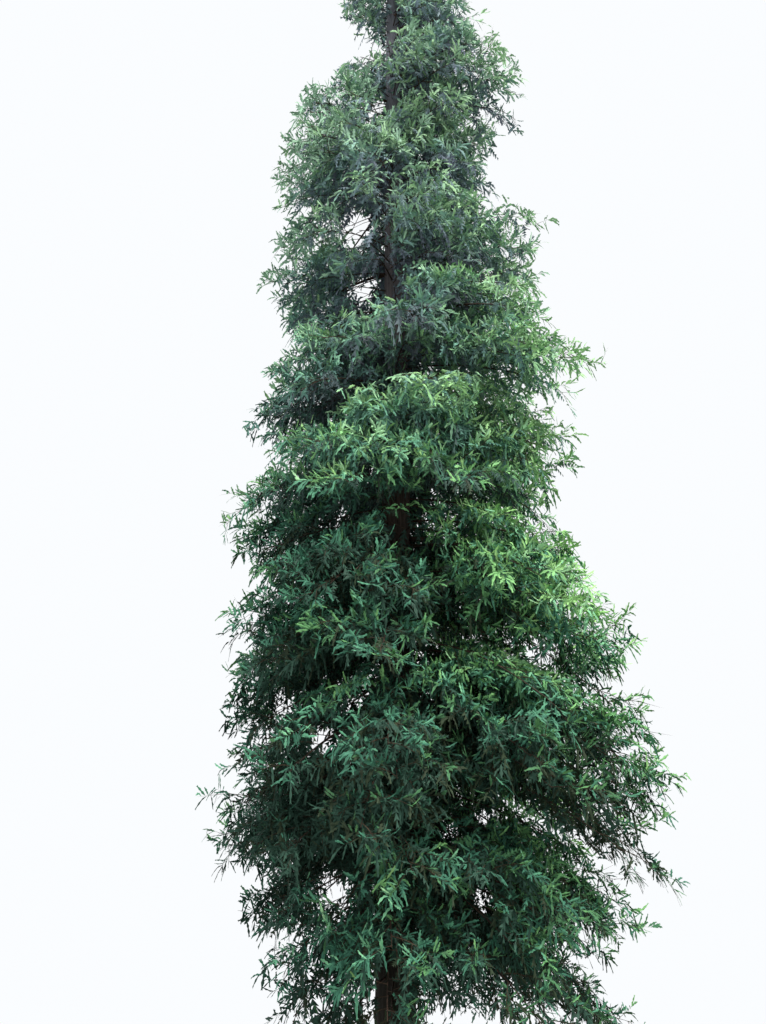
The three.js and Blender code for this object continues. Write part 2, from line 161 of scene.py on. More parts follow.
def mesh_piece(name, points, faces, finish, smooth=False, values=None):
    """A mesh from one array of points and some arrays of faces, each with its own number of corners."""
    mesh = bpy.data.meshes.new(name)
    sizes = np.concatenate([np.full(len(part), part.shape[1]) for part in faces])
    corners = np.concatenate([part.reshape(-1) for part in faces])
    mesh.vertices.add(len(points))
    mesh.loops.add(len(corners))
    mesh.polygons.add(len(sizes))
    mesh.vertices.foreach_set("co", points.astype(np.float32).reshape(-1))
    mesh.loops.foreach_set("vertex_index", corners.astype(np.int32))
    mesh.polygons.foreach_set("loop_start", (np.cumsum(sizes) - sizes).astype(np.int32))
    mesh.polygons.foreach_set("use_smooth", np.full(len(sizes), smooth))
    for label, value in (values or {}).items():
        attribute = mesh.attributes.new(label, "FLOAT", "POINT")
        attribute.data.foreach_set("value", value.astype(np.float32).reshape(-1))
    mesh.update(calc_edges=True)
    mesh.materials.append(finish.material)
    piece = bpy.data.objects.new(name, mesh)
    bpy.context.scene.collection.objects.link(piece)
    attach(piece, "root")
    return piece


class Level:
    """A number that a finish works out at each point. Arithmetic on it adds Math nodes."""

    def __init__(self, finish, socket):
        self.finish = finish
        self.socket = socket

    def maths(self, operation, other):
        return self.finish.node("ShaderNodeMath", {"operation": operation}, {0: self, 1: other})

    def __add__(self, other):
        return self.maths("ADD", other)

    def __mul__(self, other):
        return self.maths("MULTIPLY", other)

    __radd__ = __add__
    __rmul__ = __mul__


class Finish:
    """A material on one Principled shader. Its even values are set on the shader's own sockets."""

    def __init__(self, name, **even):
        self.material = bpy.data.materials.new(name)
        self.material.use_nodes = True
        self.tree = self.material.node_tree
        self.shader = self.tree.nodes["Principled BSDF"]
        for socket, value in even.items():
            self.shader.inputs[socket.replace("_", " ")].default_value = value

    def node(self, kind, settings=None, sockets=None, output=0):
        """Any node: its settings first, then what goes into its sockets, and the output that is wanted."""
        node = self.tree.nodes.new(kind)
        for setting, value in (settings or {}).items():
            if setting == "stops":
                for stop, (place, colour) in zip(node.color_ramp.elements, value):
                    stop.position = place
                    stop.color = (*colour, 1)
            else:
                setattr(node, setting, value)
        for socket, value in (sockets or {}).items():
            if isinstance(value, Level):
                self.tree.links.new(value.socket, node.inputs[socket])
            else:
                node.inputs[socket].default_value = value
        return Level(self, node.outputs[output])

    def place(self, stretch):
        """Object coordinates, scaled along each axis."""
        here = self.node("ShaderNodeTexCoord", output="Object")
        return self.node("ShaderNodeMapping", sockets={"Vector": here, "Scale": stretch})

    def noise(self, stretch, scale, detail):
        """Soft blotches, stretched along each axis."""
        where = self.place(stretch)
        return self.node("ShaderNodeTexNoise", sockets={"Vector": where, "Scale": scale, "Detail": detail})

    def up_the_tree(self, start, end, most):
        """A share that goes from 0 at one height to its most at another, and stays level past them."""
        height = self.node("ShaderNodeSeparateXYZ", sockets={0: self.place((1, 1, 1))}, output="Z")
        limits = {"Value": height, "From Min": start, "From Max": end, "To Max": most}
        return self.node("ShaderNodeMapRange", sockets=limits)

    def ramp(self, level, stops):
        """Two colours that run into one another as a level rises."""
        return self.node("ShaderNodeValToRGB", {"stops": stops}, {"Fac": level})

    def mottled(self, dark, light, **blotches):
        """A darker and a lighter colour that run into one another in soft blotches."""
        return self.ramp(self.noise(**blotches), [(0.35, dark), (0.65, light)])

    def blend(self, share, first, second):
        """A colour level turned towards an even colour by a share, on the Mix node's colour sockets."""
        sockets = {"Factor": share, 6: first, 7: (*second, 1)}
        return self.node("ShaderNodeMix", {"data_type": "RGBA"}, sockets, 2)

    def feed(self, socket, level):
        """A level or colour into a socket of the shader."""
        self.tree.links.new(level.socket, self.shader.inputs[socket])

    def bump(self, height, strength, distance):
        """Fine relief that is too small for the mesh."""
        bumped = {"Height": height, "Strength": strength, "Distance": distance}
        self.feed("Normal", self.node("ShaderNodeBump", sockets=bumped))


bark = Finish("redwood_bark", Roughness=0.92, Specular_IOR_Level=0.25)
fibres = bark.noise(stretch=(9, 9, 0.9), scale=9.0, detail=6)
patches = bark.noise(stretch=(1, 1, 0.35), scale=2.2, detail=3)
groove = bark.node("ShaderNodeAttribute", {"attribute_name": "groove"}, output="Fac")
ridges = bark.ramp(fibres, [(0.3, RIDGE_SHADED), (0.7, RIDGE_LIT)])
weathered = bark.blend(patches * WEATHERED_SHARE, ridges, WEATHERED_GREY)
# Painted shade: the deeper the furrow, the nearer the bark comes to black-brown.
furrow_shaded = bark.blend(groove * FURROW_SHARE, weathered, FURROW_SHADE)
# Painted shade: the bark darkens towards black from 12 m down to 5 m, under the crown.
low_shaded = bark.blend(bark.up_the_tree(start=12.0, end=5.0, most=0.93), furrow_shaded, LOW_SHADE_BLACK)
# Painted haze: a grey-blue light laid over the bark from 9 m up to 17.5 m.
haze_lit = bark.blend(bark.up_the_tree(start=9.0, end=17.5, most=0.7), low_shaded, PAINTED_BARK_HAZE)
bark.feed("Base Color", haze_lit)
bark.feed("Roughness", BARK_ROUGHNESS + fibres * FIBRE_ROUGHNESS)
bark.bump(fibres, strength=0.7, distance=0.012)

bark_rows = TRUNK_HEIGHT * np.linspace(0, 1, BARK_UP) ** BARK_CROWDING
bark_columns = 2 * np.pi * np.arange(BARK_AROUND) / BARK_AROUND
bark_height, bark_azimuth = np.meshgrid(bark_rows, bark_columns, indexing="ij")
bark_groove = furrows(bark_azimuth, bark_height)
girth = trunk_radius(bark_height, bark_azimuth)
relief = FURROW_DEPTH * bark_groove + STRAND_DEPTH * strands(bark_azimuth, bark_height) - BARK_INSET
bark_radius = girth - relief * np.minimum(1, girth / TRUNK_RADIUS)
outward = np.stack([np.cos(bark_azimuth), np.sin(bark_azimuth), 0 * bark_azimuth], axis=-1)
bark_points = trunk_axis(bark_height) + bark_radius[..., None] * outward
grid = np.arange(BARK_UP * BARK_AROUND).reshape(BARK_UP, BARK_AROUND)
beside = np.roll(grid, -1, axis=1)
walls = np.stack([grid[:-1], beside[:-1], beside[1:], grid[1:]], axis=-1).reshape(-1, 4)
trunk = mesh_piece(
    "trunk_bark",
    bark_points.reshape(-1, 3),
    [walls, grid[:1, ::-1], grid[-1:]],
    bark,
    smooth=True,
    values={"groove": bark_groove},
)
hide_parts("trunk")


# The crown's plan: boughs leave the trunk in a rising spiral and droop as they reach out. Between the main
# ones grow many smaller ones, which keep to the same spaces and carry the crown's outer foliage. Here their
# lines are laid out. Their wood is made in the next section, since it ends at the last twig on each.
SEED = 20260
STREAM_STEP = 0x6D2B79F5
WORD = 2**32

# The spiral on which the boughs stand.
BOUGH_COUNT = 35
BOUGH_POINTS = 13
LOWEST_BOUGH = 3.35
BOUGH_RISE = 0.518
SPIRAL_START = math.radians(-110)
TURN_LOW = math.radians(85.5)
TURN_HIGH = math.radians(122)
TURN_GROWTH = (TURN_HIGH - TURN_LOW) / (BOUGH_COUNT - 1)

# How far the boughs reach out, and how they droop.
CROWN_REACH = 3.48
REACH_POWER = 0.346
TOP_ROUNDING = 1.5
TOP_CLEARANCE = 0.001
LOPSIDE_LOW = 0.2
LOPSIDE_HIGH = 0.1
SKIRT_SHORTER = 0.25
SKIRT_RISE = 0.9
REACH_LEAST = 0.88
REACH_MOST = 1.04
SLOPE_LOW = 0.2
SLOPE_HIGH = -0.12
BEND = 0.45

# The space between two turns of the spiral that each mass of foliage keeps to.
SPACE_BELOW = 0.64
SPACE_BEYOND = 1.01
SPACE_BESIDE = 0.56
BARK_CLEARANCE = 0.02
GROUND_CLEARANCE = 1.0

# How many boughs share a space, and how they are dealt out in it.
BOUGHS_IN_LOW_SPACE = 15
BOUGHS_IN_HIGH_SPACE = 9
SHORT_EVERY = 4
SHORT_REACH = 0.45
GOLDEN_SHARE = 0.618
DEALT_SCATTER = 0.25
LEVEL_SCATTER = 0.35
MAIN_SWAY = 0.2
SMALL_SWAY = 0.12
OUTLINE_SHARE = 0.9
SPREAD_ROUND = 0.9
RAISED_MOST = 0.33
RAISED_LEAST = -0.54
BOUGH_SHARE = 0.84
BOUGH_ROOT_DEPTH = 0.06

# The crown's outline on either side of the trunk: heights, and how far out the foliage reaches there.
RIGHT_REACHES = np.array([
    (1.5, 2.95), (2.6, 2.4), (3.0, 4.1), (3.8, 3.0), (4.6, 4.6), (5.7, 3.95), (7.1, 2.58), (8.9, 2.32),
    (10.3, 3.35), (11.2, 2.45), (12.1, 1.6), (12.9, 2.75), (14.5, 1.2), (15.7, 2.65), (17.6, 1.75),
    (18.9, 1.0), (20.8, 0.9), (22.5, 0.3),
])
LEFT_REACHES = np.array([
    (1.5, 1.55), (2.6, 1.85), (4.0, 2.4), (5.3, 2.1), (7.7, 2.6), (10.3, 1.95), (11.2, 1.15), (12.1, 2.1),
    (14.9, 2.3), (16.2, 0.98), (17.4, 0.66), (18.9, 0.85), (20.8, 0.8), (22.5, 0.3),
])

rng = np.random.default_rng(SEED)


def between(low, high, share):
    """A share of the way from low to high."""
    return low + (high - low) * share


def seeded_random(seed, draws):
    """The solids' own random numbers, so that the main boughs are theirs: 32-bit shifts and products."""
    numbers = []
    for draw in range(1, draws + 1):
        state = (seed + draw * STREAM_STEP) % WORD
        mixed = ((state ^ (state >> 15)) * (state | 1)) % WORD
        mixed ^= (mixed + (mixed ^ (mixed >> 7)) * (mixed | 61)) % WORD
        numbers.append((mixed ^ (mixed >> 14)) / WORD)
    return numbers


def crown_reach(height, azimuth):
    """A power of the height that is left, rounded off at the top and at the skirt, longer on one side."""
    below = np.maximum(TOP_CLEARANCE, TREE_HEIGHT - height)
    taper = (below / TREE_HEIGHT) ** REACH_POWER * (1 - np.exp(-below / TOP_ROUNDING))
    skirt = 1 - SKIRT_SHORTER * np.exp(-np.maximum(0, height - LOWEST_BOUGH) / SKIRT_RISE)
    lopside = between(LOPSIDE_LOW, LOPSIDE_HIGH, height / TREE_HEIGHT)
    return CROWN_REACH * taper * skirt * (1 + lopside * np.cos(azimuth))


def droop_height(start, outward, azimuth):
    """A straight slope that steepens by the square of the distance out."""
    slope = between(SLOPE_LOW, SLOPE_HIGH, start / TREE_HEIGHT)
    return start - slope * outward - BEND * outward**2 / crown_reach(start, azimuth)


def spiral_azimuth(step):
    """The turns of the steps so far, each a little more than the last."""
    return SPIRAL_START + TURN_LOW * step + TURN_GROWTH * step**2 / 2


def spiral_height(step):
    """An even rise for each step."""
    return LOWEST_BOUGH + BOUGH_RISE * step


def spiral_step(azimuth):
    """The step that has turned so far: the quadratic of spiral_azimuth solved for its step."""
    turned = azimuth - SPIRAL_START
    return (np.sqrt(np.maximum(0, TURN_LOW**2 + 2 * TURN_GROWTH * turned)) - TURN_LOW) / TURN_GROWTH


def turn_rise(azimuth):
    """How much higher the spiral is one full turn on."""
    return BOUGH_RISE * (spiral_step(azimuth + 2 * np.pi) - spiral_step(azimuth))


def outline(height, azimuth):
    """How far out the crown's foliage reaches: its right and left outlines, blended round the trunk."""
    right = np.interp(height, *RIGHT_REACHES.T)
    left = np.interp(height, *LEFT_REACHES.T)
    return between(left, right, (1 + np.cos(azimuth)) / 2)


def space_round(points, step):
    """The azimuth of points and their way out, and the floor and ceiling there of each one's own space.

    A space lies between two turns of the spiral, and its floor and ceiling droop as its boughs do.
    """
    middle = trunk_axis(spiral_height(step))
    across = points[:, :2] - middle[:, :2]
    outward = np.hypot(across[:, 0], across[:, 1])
    own = spiral_azimuth(step)
    turned = own + (np.arctan2(across[:, 1], across[:, 0]) - own + np.pi) % (2 * np.pi) - np.pi
    rise = turn_rise(turned)
    lowest = spiral_height(spiral_step(turned)) - SPACE_BELOW * rise
    floor = np.maximum(droop_height(lowest, outward, turned), GROUND_CLEARANCE)
    return turned, outward, floor, droop_height(lowest + rise, outward, turned)


def in_space(points, step):
    """Whether points lie in their own step of the spiral, between its turn and the next.

    They must be clear of the trunk as well, and no further out than the crown reaches.
    """
    turned, outward, floor, ceiling = space_round(points, step)
    beside = np.abs(spiral_step(turned) - step) < SPACE_BESIDE
    clear = outward > trunk_radius(points[:, 2], turned) + BARK_CLEARANCE
    within = outward < crown_reach(spiral_height(step), turned) * SPACE_BEYOND
    return beside & clear & within & (points[:, 2] > floor) & (points[:, 2] < ceiling)


spaces = np.arange(BOUGH_COUNT)
in_each = np.round(between(BOUGHS_IN_LOW_SPACE, BOUGHS_IN_HIGH_SPACE, spaces / BOUGH_COUNT)).astype(int)
bough_space = np.repeat(spaces, in_each)
bough_place = np.concatenate([np.arange(count) for count in in_each])
bough_total = len(bough_space)
main = bough_place == 0
short = bough_place % SHORT_EVERY == SHORT_EVERY - 1
dealt = (bough_place * GOLDEN_SHARE + rng.random(bough_total) * DEALT_SCATTER) % 1
across = np.where(main, 0, (dealt - 0.5) * SPREAD_ROUND)
level_scatter = rng.uniform(-LEVEL_SCATTER, LEVEL_SCATTER, bough_total)
level = (bough_place - 0.5 + level_scatter) / np.repeat(in_each - 1, in_each)
raised = np.where(main, 0, between(RAISED_LEAST, RAISED_MOST, level))
bough_azimuth = spiral_azimuth(bough_space + across)
bough_start = spiral_height(bough_space + across) + raised * turn_rise(bough_azimuth)
source_draws = np.array([seeded_random(SEED + space, 2) for space in spaces])[bough_space]
stretch = np.where(main, source_draws[:, 0], rng.random(bough_total))
bough_full = crown_reach(spiral_height(bough_space), bough_azimuth)
bough_reach = bough_full * between(REACH_LEAST, REACH_MOST, stretch) * np.where(short, SHORT_REACH, 1)
small_sway = rng.uniform(-SMALL_SWAY, SMALL_SWAY, bough_total)
bough_sway = np.where(main, (source_draws[:, 1] - 0.5) * MAIN_SWAY, small_sway)


def bough_lines():
    """Points along every bough: out from the trunk with a slight sway, on its drooping line.

    Each goes a share of its reach, but stays inside the crown's outline.
    """
    share = np.linspace(0, 1, BOUGH_POINTS)
    inner = trunk_radius(bough_start, bough_azimuth) - BOUGH_ROOT_DEPTH
    furthest = outline(droop_height(bough_start, bough_reach, bough_azimuth), bough_azimuth)
    outer = np.minimum(bough_reach * BOUGH_SHARE, furthest * OUTLINE_SHARE)
    out = between(inner[:, None], outer[:, None], share)
    azimuth = bough_azimuth[:, None] + bough_sway[:, None] * out / bough_reach[:, None]
    points = np.repeat(trunk_axis(bough_start)[:, None], BOUGH_POINTS, axis=1)
    points[..., 0] += out * np.cos(azimuth)
    points[..., 1] += out * np.sin(azimuth)
    points[..., 2] = droop_height(bough_start[:, None], out, bough_azimuth[:, None])
    return points


boughs = bough_lines()


# Boughs and twigs are live wood under thin scaly bark, each grown out of the one before and no longer than
# it needs for the last shoot that it carries. Twigs leave a bough to one side and then the other and sag,
# and finer forks leave each twig. Twigs also grow straight from the trunk, and in a spiral up its leader.
MAIN_BOUGH_RADIUS = 0.046
SMALL_BOUGH_RADIUS = 0.018
BOUGH_TIP_RADIUS = 0.005
BOUGH_STOUT_LOW = 1.08
BOUGH_STOUT_HIGH = 0.4
BOUGH_TAPER = 0.8
BOUGH_SIDES = 5
NEARLY_UPRIGHT = 0.99
BOUGH_DARK = (0.022, 0.014, 0.01)
BOUGH_BROWN = (0.06, 0.035, 0.025)

# Twigs on the boughs, and where they may grow.
TWIG_SPACING = 0.13
TWIG_FROM = 0.22
TWIG_FROM_SHORT = 0.12
TWIG_POINTS = 4
TWIG_SIDES = 3
TWIG_RADIUS = 0.0065
TWIG_TIP_RADIUS = 0.002
TWIG_DARK = (0.025, 0.018, 0.011)
TWIG_BROWN = (0.07, 0.045, 0.028)
TWIG_SHARE = 0.32
TWIG_LONG_INNER = 1.1
TWIG_LONG_OUTER = 0.55
TWIG_LENGTHS = (0.7, 1.15)
TWIG_SHORTEST = 0.25
TWIG_TURN_INNER = 1.15
TWIG_TURN_OUTER = 0.45
TURN_SCATTER = 0.2
TWIG_FALL_LOW = 0.1
TWIG_FALL_HIGH = -0.2
TWIG_FALL_SCATTER = 0.3
TWIG_SAG = 0.3
TWIG_SAGS = (0.5, 1.5)
TRIMMED = 0.7
DEAD_END = 0.08
RAGGED_LEAST = 0.88
RAGGED_MOST = 1.06
TIP_SLOPE = 2.0

# Forks on the twigs.
FORK_SPACING = 0.115
FORK_FROM = 0.3
FORK_LENGTH = 0.27
FORK_TURN = 0.8
FORK_FALL_LOW = 0.15
FORK_FALL_HIGH = -0.5
FORK_SAG = 0.0
FORK_RADIUS = 0.0035
FORK_ASLANT = (0.3, 0.2, 1.0)
FORK_SLACK = 1.04

# The rule by which forks, shoots and fronds grow on their stems: where each stands in its own stretch of the
# stem, which way it faces and turns, the shares of its full length and sag, and how far it bows.
PLACE_ALONG = (0.15, 0.85)
FACING_UP = 0.7
FACING_SCATTER = 0.7
TURN_NARROWED = 0.5
STRAYING = 0.3
GROWN_LENGTHS = (0.65, 1.2)
GROWN_SAGS = (-0.8, 2.4)
GROWN_BOWS = (-0.3, 0.2)

# Twigs straight on the trunk, and those of the leader, which is the trunk's own tip.
TRUNK_TWIGS = 420
TRUNK_TWIGS_FROM = 2.6
TRUNK_TWIGS_TO = 20.8
TRUNK_TWIG_DEPTH = 0.02
TRUNK_TWIG_FALL = 0.1
TRUNK_FALL_SCATTER = 0.25
TRUNK_TURN_SCATTER = 0.4
TRUNK_TWIG_SAG = 0.5
TRUNK_TWIG_LOW = 0.6
TRUNK_TWIG_HIGH = 0.35
TRUNK_LENGTHS = (0.6, 1.2)
LEADER_RADIUS = 0.013
LEADER_TIP_RADIUS = 0.003
LEADER_POINTS = 6
LEADER_SIDES = 6
LEADER_FROM = 21.0
LEADER_TIP = 22.42
LEADER_TWIGS = 34
LEADER_TWIGS_FROM = 20.8
LEADER_TWIGS_TO = 22.37
LEADER_TWIG_LOW = 0.62
LEADER_TWIG_HIGH = 0.12
LEADER_FALL_LOW = 0.35
LEADER_FALL_HIGH = -1.6
LEADER_SAG = 0.15
GOLDEN_TURN = math.radians(137.5)

# Gaps in the crown, as soft ellipses in the photograph's frame: across, down, half width and half height, in
# pixels. Foliage stays out of those to the sky at any depth, and out of those to the trunk in front of it.
SKY_GAPS = [
    (360, 47, 22, 15), (379, 107, 7, 7), (356, 230, 16, 19), (363, 289, 12, 15), (352, 702, 11, 7),
    (323, 740, 12, 14), (337, 887, 13, 13), (286, 705, 7, 11), (446, 833, 8, 9), (484, 818, 6, 10),
    (482, 897, 9, 14), (428, 697, 6, 5), (628, 750, 15, 5), (370, 470, 7, 6),
]
TRUNK_GAPS = [
    (385, 246, 6, 60), (390, 105, 5, 7), (391, 24, 8, 26), (405, 532, 16, 22), (387, 992, 13, 38),
]
GAP_RAGGED = 0.45
GAP_TWIGS = 0.12
GAP_FOR_FORKS = 1
GAP_FOR_FORK_TIPS = 0.8


def unit(vectors):
    """Vectors of length one."""
    return vectors / np.linalg.norm(vectors, axis=-1, keepdims=True)


def limbs(paths, radii, sides):
    """Closed tubes along many paths at once: a ring of points round each point, square to the path.

    Returns the points, the wall's faces and the two caps of each tube.
    """
    count, steps = paths.shape[:2]
    forward = unit(np.gradient(paths, axis=1))
    level = np.where(np.abs(forward[..., 2:]) > NEARLY_UPRIGHT, (0.0, 1.0, 0.0), (0.0, 0.0, 1.0))
    side = unit(np.cross(forward, level))
    over = np.cross(side, forward)
    turn = 2 * np.pi * np.arange(sides) / sides
    ring = np.cos(turn)[:, None] * side[:, :, None] + np.sin(turn)[:, None] * over[:, :, None]
    points = paths[:, :, None] + radii[:, :, None, None] * ring
    places = np.arange(count * steps * sides).reshape(count, steps, sides)
    beside = np.roll(places, -1, axis=2)
    corners = [places[:, :-1], places[:, 1:], beside[:, 1:], beside[:, :-1]]
    walls = np.stack(corners, axis=-1).reshape(-1, 4)
    return points.reshape(-1, 3), [walls, places[:, 0], places[:, -1, ::-1]]


def spindles(roots, tips, radius):
    """Thin closed spikes from roots to tips: a triangle round each root, and three faces to the tip."""
    forward = unit(tips - roots)
    side = unit(np.cross(forward, FORK_ASLANT))
    over = np.cross(side, forward)
    turn = 2 * np.pi * np.arange(3) / 3
    ring = np.cos(turn)[:, None] * side[:, None] + np.sin(turn)[:, None] * over[:, None]
    points = np.concatenate([roots[:, None] + radius * ring, tips[:, None]], axis=1)
    faces = np.array([(0, 1, 2), (1, 0, 3), (2, 1, 3), (0, 2, 3)])
    return points.reshape(-1, 3), (faces[None] + 4 * np.arange(len(roots))[:, None, None]).reshape(-1, 3)


def at_share(paths, which, share):
    """Points and headings part of the way along chosen paths, straight between a path's own points."""
    place = share * (paths.shape[1] - 1)
    before = np.minimum(place.astype(int), paths.shape[1] - 2)
    start = paths[which, before]
    end = paths[which, before + 1]
    return start + (end - start) * (place - before)[:, None], unit(end - start)


def live_wood(stems, which, share):
    """Stems with as many points as before, each only as far as a little past the last shoot on it."""
    last = np.zeros(len(stems))
    np.maximum.at(last, which, share)
    steps = stems.shape[1]
    places = np.minimum(1, last + DEAD_END)[:, None] * np.linspace(0, 1, steps)
    points, _ = at_share(stems, np.repeat(np.arange(len(stems)), steps), places.reshape(-1))
    return points.reshape(stems.shape)


def dealt_along(lengths, spacing):
    """For paths of some lengths: which path each shoot is on, its number there, and its share along."""
    counts = np.maximum(2, (lengths / spacing).astype(int))
    which = np.repeat(np.arange(len(lengths)), counts)
    number = np.arange(len(which)) - np.repeat(np.cumsum(counts) - counts, counts)
    share = (number + rng.uniform(*PLACE_ALONG, len(which))) / counts[which]
    return which, number, share


def heading(azimuth, fall):
    """Directions from an azimuth and how far they fall for each unit outward."""
    return unit(np.stack([np.cos(azimuth), np.sin(azimuth), -fall + 0 * azimuth], axis=-1))


def hanging(roots, directions, lengths, sag, steps):
    """Paths that start out straight and sag by the square of the distance along them."""
    share = np.linspace(0, 1, steps)[None, :, None]
    along = lengths[:, None, None]
    paths = roots[:, None] + directions[:, None] * along * share
    paths[..., 2] -= (sag[:, None] * along[..., 0]) * share[..., 0] ** 2
    return paths


def facing(points):
    """Directions for sprays to face: outward from the trunk and partly up, with some scatter."""
    scatter = rng.normal(0, FACING_SCATTER, points.shape)
    return unit(unit(points * (1, 1, 0)) + (0, 0, FACING_UP) + scatter)


def grown_on(stems, first, spacing, turn, fall, length, sag, steps):
    """Short paths that grow from stems by turns to the left and right, in the plane that the stem faces.

    Each leaves its stem at an angle that narrows to half towards the stem's tip, leans down by the fall,
    sags, and bows towards the stem or away from it by the square of the distance along it. Returns which
    stem each is on, its share along it, the paths, and the way they face.
    """
    turn, fall, length = (np.broadcast_to(value, len(stems)) for value in (turn, fall, length))
    stem_lengths = np.linalg.norm(stems[:, -1] - stems[:, 0], axis=-1)
    which, number, share = dealt_along(stem_lengths, spacing)
    share = between(first, 1, share)
    root, ahead = at_share(stems, which, share)
    count = len(which)
    faces_to = facing(stems[:, 0])[which]
    aside = unit(np.cross(ahead, faces_to)) * np.where(number % 2, 1, -1)[:, None]
    narrowed = between(turn[which], TURN_NARROWED * turn[which], share)
    turned = (narrowed + rng.normal(0, TURN_SCATTER, count))[:, None]
    down = (0, 0, -1) * fall[which][:, None]
    straying = rng.normal(0, STRAYING, (count, 3))
    directions = unit(ahead * np.cos(turned) + aside * np.sin(turned) + down + straying)
    lengths = length[which] * rng.uniform(*GROWN_LENGTHS, count)
    sags = sag * rng.uniform(*GROWN_SAGS, count)
    bow = aside * (lengths * rng.uniform(*GROWN_BOWS, count))[:, None]
    bowed = bow[:, None] * np.linspace(0, 1, steps)[None, :, None] ** 2
    return which, share, hanging(root, directions, lengths, sags, steps) + bowed, faces_to


def in_outline(points, ragged):
    """Whether points lie within the crown's outline, which each twig stretches or shortens a little."""
    outward = np.hypot(points[:, 0], points[:, 1])
    return outward < outline(points[:, 2], np.arctan2(points[:, 1], points[:, 0])) * ragged


def below_tip(points):
    """Whether points lie inside the steep cone round the leader that gives the tree its point."""
    return points[:, 2] + TIP_SLOPE * np.hypot(points[:, 0], points[:, 1]) < TREE_HEIGHT


def on_photo(points):
    """Where points fall in the photograph's frame: sideways and upward shares of depth, in pixels."""
    seen = points - EYE
    depth = seen[:, 1] * math.cos(TILT_UP) + seen[:, 2] * math.sin(TILT_UP)
    upward = seen[:, 2] * math.cos(TILT_UP) - seen[:, 1] * math.sin(TILT_UP)
    across = PHOTO_WIDTH / 2 + FOCAL_PIXELS * seen[:, 0] / depth
    return across, PHOTO_HEIGHT / 2 - FOCAL_PIXELS * upward / depth


def in_gap(points, ragged):
    """Whether points lie where the photograph looks through the crown to the sky, or in to the trunk.

    Each gap is an ellipse, and the raggedness widens or narrows it for each point.
    """
    across, down = on_photo(points)
    before_trunk = points[:, 1] < 0
    inside = np.zeros(len(points), bool)
    for gaps, open_to in ((SKY_GAPS, True), (TRUNK_GAPS, before_trunk)):
        for x, y, half_width, half_height in gaps:
            inside |= (np.hypot((across - x) / half_width, (down - y) / half_height) < ragged) & open_to
    return inside


bough_length = np.linalg.norm(boughs[:, -1] - boughs[:, 0], axis=-1)
twig_from = np.where(short, TWIG_FROM_SHORT, TWIG_FROM)
twig_bough, twig_number, twig_share = dealt_along(bough_length * (1 - twig_from), TWIG_SPACING)
twig_share = between(twig_from[twig_bough], 1, twig_share)
twig_root, bough_heading = at_share(boughs, twig_bough, twig_share)
twig_side = np.where((twig_number + twig_bough) % 2, 1, -1)
twig_count = len(twig_bough)
twig_turn = between(TWIG_TURN_INNER, TWIG_TURN_OUTER, twig_share) + rng.normal(0, TURN_SCATTER, twig_count)
twig_azimuth = np.arctan2(bough_heading[:, 1], bough_heading[:, 0]) + twig_side * twig_turn
twig_length = bough_full[twig_bough] * TWIG_SHARE * between(TWIG_LONG_INNER, TWIG_LONG_OUTER, twig_share)
twig_length = np.maximum(TWIG_SHORTEST, twig_length * rng.uniform(*TWIG_LENGTHS, twig_count))
twig_fall = between(TWIG_FALL_LOW, TWIG_FALL_HIGH, twig_root[:, 2] / TREE_HEIGHT)
twig_fall += rng.normal(0, TWIG_FALL_SCATTER, twig_count)
twig_sag = TWIG_SAG * rng.uniform(*TWIG_SAGS, twig_count)
twigs = hanging(twig_root, heading(twig_azimuth, twig_fall), twig_length, twig_sag, TWIG_POINTS)
twig_space = bough_space[twig_bough]
twig_ragged = rng.uniform(RAGGED_LEAST, RAGGED_MOST, twig_count)
twig_middle = twigs[:, TWIG_POINTS // 2]
kept = in_space(twig_middle, twig_space) & in_outline(twigs[:, -1], twig_ragged)
twig_gap_ragged = rng.normal(1, GAP_RAGGED, twig_count)
kept &= ~in_gap(twig_middle, twig_gap_ragged) | (rng.random(twig_count) < GAP_TWIGS)
twigs, twig_space, twig_ragged = twigs[kept], twig_space[kept], twig_ragged[kept]
twig_on, twig_share = twig_bough[kept], twig_share[kept]
trimmed = np.where(in_space(twigs[:, -1], twig_space), 1, TRIMMED)
twigs = between(twigs[:, :1], twigs, trimmed[:, None, None])

bough_bark = Finish("bough_bark", Roughness=0.85, Specular_IOR_Level=0.3)
bough_mottle = bough_bark.mottled(BOUGH_DARK, BOUGH_BROWN, stretch=(1, 1, 0.5), scale=22.0, detail=3)
bough_bark.feed("Base Color", bough_mottle)
bough_stout = between(BOUGH_STOUT_LOW, BOUGH_STOUT_HIGH, bough_start / TREE_HEIGHT)
root_radius = np.where(main, MAIN_BOUGH_RADIUS, SMALL_BOUGH_RADIUS) * bough_stout
thinning = np.linspace(0, 1, BOUGH_POINTS) ** BOUGH_TAPER
bough_radii = between(root_radius[:, None], BOUGH_TIP_RADIUS, thinning)
bough_points, bough_faces = limbs(live_wood(boughs, twig_on, twig_share), bough_radii, BOUGH_SIDES)
wood = mesh_piece("boughs", bough_points, bough_faces, bough_bark, smooth=True)
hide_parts(*[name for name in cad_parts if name.startswith("bough_")])

